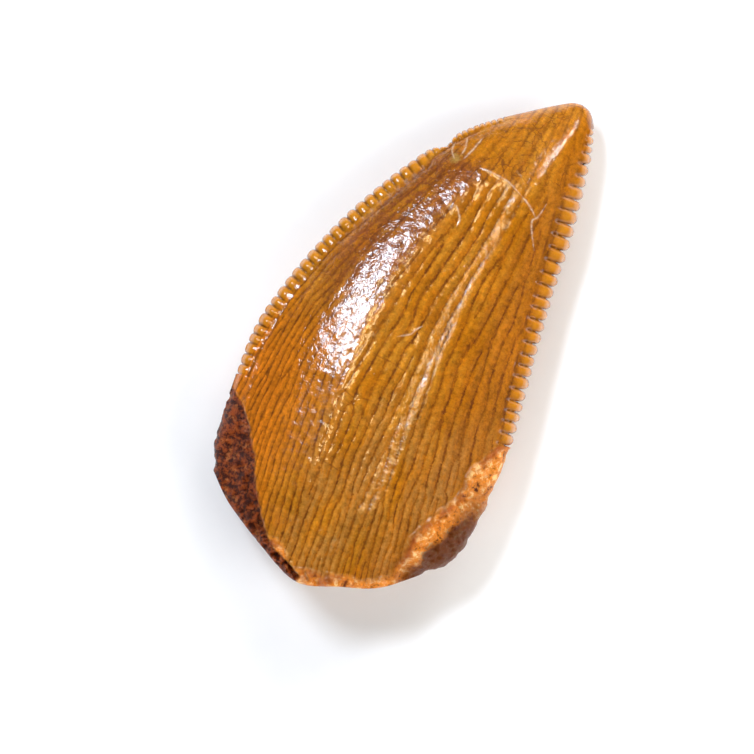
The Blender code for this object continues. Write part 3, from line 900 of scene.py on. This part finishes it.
def growth_ridges(n, p):
    """The ridge pattern, 1 on a ridge and 0 in a ragged groove, and which side of a ridge it is."""
    squares = n.math("ADD", n.math("MULTIPLY", p.cosine, p.cosine), n.math("MULTIPLY", p.sine, p.sine))
    size = n.math("MAXIMUM", n.math("SQRT", squares), 0.05)
    half = n.math("MULTIPLY_ADD", n.math("DIVIDE", p.cosine, size), 0.5, 0.5)
    ridge = n.math("SQRT", n.math("MAXIMUM", half, 0.0))
    ridge = n.math("MULTIPLY_ADD", n.math("SUBTRACT", p.streak, 0.5), 0.90, ridge)
    ridge = n.math("MULTIPLY_ADD", n.math("SUBTRACT", p.broken, 0.5), 1.10, ridge)
    ridge = n.math("MULTIPLY_ADD", n.math("SUBTRACT", n.noise(p.place, 15.0, 2.0), 0.5), 0.70, ridge)
    # The side is what the painted shade on one side of each ridge goes by.
    return ridge, n.math("DIVIDE", p.sine, size)


def ground_colour(n, p):
    """Broad tones of the enamel: honey, amber streaks, tan low down, orange at the lower left, and
    darker amber towards the distal edge, partly its tone and partly painted shade.
    """
    colour = n.mix(n.ease(n.noise(p.place, 0.45, 3.0), 0.35, 0.65), HONEY, HONEY_PALE)
    colour = n.mix(n.math("MULTIPLY", n.ease(p.streak, 0.46, 0.72), 0.75), colour, AMBER)
    # Darker towards the distal edge: partly the enamel's tone and partly painted shade of the side that
    # faces away from the light.
    colour = n.mix(n.math("MULTIPLY", n.ease(p.u, 0.64, 0.82), 0.65), colour, DISTAL_AMBER_AND_SHADE)
    colour = n.mix(n.math("MULTIPLY", n.ease(p.mottle, 0.50, 0.75), 0.55), colour, AMBER)
    lower = n.math("MULTIPLY", n.ease(p.height, -1.0, -5.0), n.ease(p.u, 0.22, 0.45))
    lower = n.math("MULTIPLY", lower, n.ease(n.noise(p.long_place, 1.2, 3.0), 0.36, 0.60))
    colour = n.mix(n.math("MULTIPLY", lower, 0.75), colour, TAN)
    low_left = n.math("MULTIPLY", n.ease(p.u, 0.42, 0.12), n.ease(p.height, 0.5, -4.5))
    return n.mix(n.math("MULTIPLY", low_left, 0.85), colour, ORANGE)


def stained_band(n, p, colour):
    """The brown stain and its netting along the shoulder of the mesial side."""
    band = n.math("MULTIPLY", n.ease(p.u, 0.05, 0.12), n.ease(p.u, 0.42, 0.28))
    reach = n.math("MULTIPLY", n.ease(p.height, -2.5, 2.5), n.ease(p.height, 7.2, 6.0))
    band = n.math("MULTIPLY", band, reach)
    mottled = n.ease(n.noise(p.place, 1.6, 5.0, 0.62), 0.32, 0.58)
    colour = n.mix(n.math("MULTIPLY", n.math("MULTIPLY", band, mottled), 0.70), colour, STAIN)
    seams = n.ease(n.ease(p.netting, 0.0, 0.36), 0.55, 0.0)
    seams = n.math("MULTIPLY", seams, n.math("MULTIPLY", band, n.ease(p.broken, 0.40, 0.60)))
    return n.mix(n.math("MULTIPLY", seams, 0.80), colour, STAIN)


def groove_lines(n, p, ridge, colour):
    """Dark growth lines in the grooves, beaded and fainter towards the tip."""
    beaded = n.blend(n.ease(n.noise(p.long_place, 3.0, 3.0), 0.38, 0.58), 0.28, 1.0)
    line = n.math("MULTIPLY", n.ease(ridge, 0.48, 0.02), n.math("MULTIPLY", p.plain, beaded))
    line = n.math("MULTIPLY", line, n.blend(p.tip, n.blend(p.left, 0.92, 0.78), 0.50))
    patchy = n.blend(n.ease(n.noise(p.place, 0.8, 2.0), 0.36, 0.58), 0.55, 1.0)
    return n.mix(n.math("MULTIPLY", line, patchy), colour, GROOVE)


def fine_shade(n, p, colour):
    """Fibres, speckles and faint bands along the crown."""
    fibre = n.noise(p.long_place, 15.0, 3.0, 0.60)
    colour = n.mix(n.math("MULTIPLY", n.ease(fibre, 0.48, 0.70), 0.60), colour, AMBER)
    speckle = n.noise(p.place, 5.0, 4.0, 0.85)
    banded = n.blend(n.noise(p.long_place, 2.2, 3.0), 0.60, 1.40)
    shade = n.math("MULTIPLY", n.blend(speckle, -0.10, 2.10), banded)
    return n.mix(1.0, colour, n.join(shade, shade, shade), "MULTIPLY")


def marked(n, p, colour):
    """Crazing at the tip, paler serrations, the yellow patch, and the cracks and scratches."""
    crazed = n.math("MULTIPLY", n.ease(n.cells(p.bent, 1.55), 0.050, 0.0), n.ease(p.height, 4.0, 7.0))
    crazed = n.math("MULTIPLY", crazed, n.ease(n.noise(p.place, 0.8), 0.40, 0.60))
    colour = n.mix(n.math("MULTIPLY", crazed, n.math("MULTIPLY", p.plain, 0.75)), colour, BROWN_MARK)
    ends = n.math("MULTIPLY", n.ease(p.serrated, 0.25, 1.0), 0.70)
    colour = n.mix(ends, colour, TOOTH_END)
    colour = n.mix(n.math("MULTIPLY", p.dark, 0.80), colour, GROOVE)
    patch = n.add("ShaderNodeVectorMath", 1, {0: p.place, 1: PATCH}, operation="DISTANCE")
    patch = n.ease(n.math("MULTIPLY_ADD", p.broken, 0.7, patch), 0.66, 0.36)
    colour = n.mix(n.math("MULTIPLY", patch, 0.60), colour, PATCH_YELLOW)
    faint = n.blend(n.ease(p.broken, 0.40, 0.60), 0.35, 1.0)
    colour = n.mix(n.math("MULTIPLY", p.brown, n.math("MULTIPLY", faint, 0.75)), colour, BROWN_MARK)
    return n.mix(n.math("MULTIPLY", p.white, n.math("MULTIPLY", faint, 0.65)), colour, WHITE_MARK)


def enamel_colour(n, p):
    """Honey enamel with flanks and grooves darker than its ridges: the flanks partly by their tone and
    partly by painted shade, and one side of each ridge darkened as painted shade.
    """
    ridge, side = growth_ridges(n, p)
    colour = ground_colour(n, p)
    # Painted shade: one side of every ridge is darkened, as if lit from the other side.
    painted_side_shade = n.math("MULTIPLY", n.ease(side, -0.2, 1.0), p.plain)
    colour = n.mix(n.math("MULTIPLY", painted_side_shade, n.blend(p.tip, 0.42, 0.26)), colour, RIDGE_FLANK_TONE_AND_SHADE)
    # The flanks next to the grooves are darkened: partly their tone and partly painted shade of the
    # rounded ridges.
    flank = n.math("MULTIPLY", n.ease(ridge, 0.72, 0.05), p.plain)
    colour = n.mix(n.math("MULTIPLY", flank, n.blend(p.tip, 0.80, 0.46)), colour, RIDGE_FLANK_TONE_AND_SHADE)
    colour = stained_band(n, p, colour)
    colour = groove_lines(n, p, ridge, colour)
    return marked(n, p, fine_shade(n, p, colour))


def dentine_colour(n, p):
    """Red-brown grains with dark hollows between them."""
    colour = n.mix(n.ease(p.grain, 0.42, 0.60), DENTINE, DENTINE_RED)
    colour = n.mix(n.math("MULTIPLY", n.ease(p.lumps, 0.54, 0.66), 0.60), colour, DENTINE_PALE)
    return n.mix(n.math("MULTIPLY", n.ease(p.lumps, 0.47, 0.36), 0.85), colour, DENTINE)


def crust_colour(n, p):
    """Pale lumps (partly their tone, partly painted highlight), dark pits (partly their tone, partly
    painted shade), red along the border with the enamel, and painted shade on the outer side.
    """
    # Pale lumps: partly the crust's tone and partly painted highlight on the lit lumps.
    colour = n.mix(n.ease(p.lumps, 0.50, 0.64), CRUST, CRUST_PALE_AND_HIGHLIGHT)
    # Dark pits: partly the crust's tone and partly painted shade in them.
    colour = n.mix(n.ease(p.lumps, 0.47, 0.34), colour, CRUST_DARK_AND_SHADE)
    margin = n.math("MULTIPLY", n.ease(p.inward, 0.42, 0.08), n.ease(n.noise(p.place, 1.1), 0.38, 0.58))
    colour = n.mix(n.math("MULTIPLY", margin, 0.85), colour, MARGIN_RED)
    # Painted shade: the outer, lower side of the crust is darkened as if turned away from the light.
    outer_side_shade = n.ease(n.math("MULTIPLY_ADD", p.lumps, 0.6, p.inward), 0.96, 1.26)
    underside_shade = n.math("MAXIMUM", n.ease(p.u, 0.88, 0.975), outer_side_shade)
    underside_shade = n.math("MULTIPLY", underside_shade, n.ease(p.height, -3.5, -6.0))
    return n.mix(n.math("MULTIPLY", underside_shade, 0.92), colour, CRUST_DARK_AND_SHADE)


def fine_relief(n, p, rough_zone):
    """Wrinkles, grit and specks of the enamel, and the grain of the rough parts, as a bump."""
    grooved = n.ease(p.netting, 0.0, 0.22)
    wrinkled = n.math("MULTIPLY", p.left, n.ease(p.height, -6.5, -2.5))
    netted = n.math("MULTIPLY", n.blend(wrinkled, 0.10, 0.62), n.math("MULTIPLY", grooved, p.plain))
    sparkle = n.math("MULTIPLY", n.ease(p.u, 0.45, 0.58), n.ease(p.u, 0.76, 0.68))
    grit = n.blend(sparkle, n.blend(wrinkled, 0.45, 0.22), 2.8)
    grit = n.math("MULTIPLY", n.noise(p.place, 9.5, 2.0, 0.6), grit)
    specks = n.ease(n.cells(p.place, 5.0, "F1"), 0.16, 0.04)
    specks = n.math("MULTIPLY", specks, n.ease(p.mottle, 0.50, 0.62))
    enamel = n.math("MULTIPLY_ADD", specks, 1.5, n.math("ADD", netted, grit))
    rugged = n.math("ADD", p.grain, n.noise(p.place, 6.0, 4.0, 0.65))
    rugged = n.math("MULTIPLY", rugged, n.blend(p.bare, 20.0, 30.0))
    return n.bump(n.blend(rough_zone, enamel, rugged), BUMP_DISTANCE)


def fossil_material():
    """Glossy honey enamel with dark growth lines, and rough dentine where it is bare."""
    n = Nodes("fossil_enamel")
    p = Patterns(n)
    colour = n.mix(p.crust, enamel_colour(n, p), crust_colour(n, p))
    colour = n.mix(p.bare, colour, dentine_colour(n, p))
    n.put(n.shader.inputs["Base Color"], colour)
    rough_zone = n.math("MAXIMUM", p.bare, p.crust, clamp=True)
    roughness = n.blend(rough_zone, 0.42, 0.46)
    micro = n.noise(p.place, 11.0, 3.0, 0.6)
    n.put(n.shader.inputs["Roughness"], n.math("MULTIPLY_ADD", micro, 0.12, roughness))
    n.put(n.shader.inputs["Coat Weight"], n.blend(p.crust, n.blend(p.bare, 1.0, 0.60), 0.42))
    for name, value in SHADER_CONSTANTS.items():
        n.shader.inputs[name].default_value = value
    bump = fine_relief(n, p, rough_zone)
    n.put(n.shader.inputs["Normal"], bump)
    n.put(n.shader.inputs["Coat Normal"], bump)
    return n.material


def floor_material():
    """Plain pale paper, with a faint grain."""
    n = Nodes("floor_paper")
    place = n.add("ShaderNodeTexCoord", "Object", {})
    grain = n.noise(place, 900.0, 3.0)
    n.put(n.shader.inputs["Base Color"], n.mix(grain, (0.90, 0.90, 0.90), (0.93, 0.93, 0.93)))
    n.shader.inputs["Roughness"].default_value = 0.85
    return n.material


def add_camera():
    """Straight down on the outer face, with the tooth leaning as in the photograph."""
    data = bpy.data.cameras.new("camera")
    data.lens = LENS
    data.sensor_width = SENSOR
    distance = LENS / SENSOR * FRAME_PIXELS / PIXELS_PER_MM
    data.clip_start = 0.01
    data.clip_end = 5.0
    camera = bpy.data.objects.new("camera", data)
    camera.location = (VIEW_CENTRE[0] * MM, VIEW_CENTRE[1] * MM, (distance + VIEW_LEVEL) * MM)
    camera.rotation_euler = (0.0, 0.0, LEAN)
    bpy.context.scene.collection.objects.link(camera)
    bpy.context.scene.camera = camera


def add_light(name, tilt_x, tilt_y, distance, size, radiance, colour, gloss=False, diffuse=True):
    """Soft box that a surface tilted by these degrees faces halfway between it and the camera."""
    normal = Vector((math.tan(math.radians(tilt_x)), math.tan(math.radians(tilt_y)), 1.0)).normalized()
    towards = 2.0 * normal.z * normal - Vector((0.0, 0.0, 1.0))
    side = Vector((0.0, 1.0, 0.0)).cross(towards).normalized()
    data = bpy.data.lights.new(name, "AREA")
    data.shape = "RECTANGLE"
    data.size, data.size_y = size
    data.energy = radiance * math.pi * size[0] * size[1]
    data.color = colour
    light = bpy.data.objects.new(name, data)
    light.visible_glossy = gloss
    light.visible_diffuse = diffuse
    turn = Matrix((side, towards.cross(side), towards)).transposed().to_4x4()
    light.matrix_world = Matrix.Translation(towards * distance) @ turn
    bpy.context.scene.collection.objects.link(light)


def add_floor():
    """A wide flat sheet under the tooth."""
    mesh = bpy.data.meshes.new("floor")
    half = FLOOR_HALF
    corners = [(-half, -half, 0.0), (half, -half, 0.0), (half, half, 0.0), (-half, half, 0.0)]
    mesh.from_pydata(corners, [], [(0, 1, 2, 3)])
    mesh.materials.append(floor_material())
    floor = bpy.data.objects.new("floor", mesh)
    bpy.context.scene.collection.objects.link(floor)


def add_world():
    """Pale surroundings, darker overhead, so that the gloss stays clear."""
    world = bpy.data.worlds.new("studio")
    world.use_nodes = True
    nodes, links = world.node_tree.nodes, world.node_tree.links
    direction = nodes.new("ShaderNodeTexCoord").outputs["Generated"]
    height = nodes.new("ShaderNodeSeparateXYZ")
    strength = nodes.new("ShaderNodeMapRange")
    strength.interpolation_type = "SMOOTHSTEP"
    for socket, value in zip(("From Min", "From Max", "To Min", "To Max"), WORLD_STRENGTH):
        strength.inputs[socket].default_value = value
    links.new(direction, height.inputs[0])
    links.new(height.outputs["Z"], strength.inputs["Value"])
    links.new(strength.outputs[0], nodes["Background"].inputs["Strength"])
    bpy.context.scene.world = world
    bpy.context.scene.view_settings.view_transform = "Standard"


add_camera()
add_world()
add_floor()
add_light("key_strip", -15.8, 7.6, 0.35, (0.058, 0.094), 33.0, (0.72, 0.84, 1.0), True)
add_light("key_soft", -15.5, 7.6, 0.35, (0.058, 0.094), 11.0, (0.98, 0.98, 1.0))
add_light("gold_strip", -8.0, 5.5, 0.35, (0.026, 0.110), 19.0, (1.0, 0.74, 0.36), True, False)
add_light("tip_glow", 1.0, 23.0, 0.35, (0.016, 0.100), 70.0, (1.0, 0.92, 0.88), True, False)
add_light("fill_right", 30.0, 4.0, 0.60, (0.50, 0.50), 4.2, (1.0, 0.98, 0.95))
add_light("fill_tip", -8.0, 34.0, 0.60, (0.60, 0.50), 5.2, (1.0, 0.98, 0.95))
add_light("fill_base", -4.0, -36.0, 0.60, (0.60, 0.50), 3.9, (1.0, 0.98, 0.96))
tooth = make_tooth()
tooth.data.materials.append(fossil_material())
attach(tooth, "root")
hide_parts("tooth")
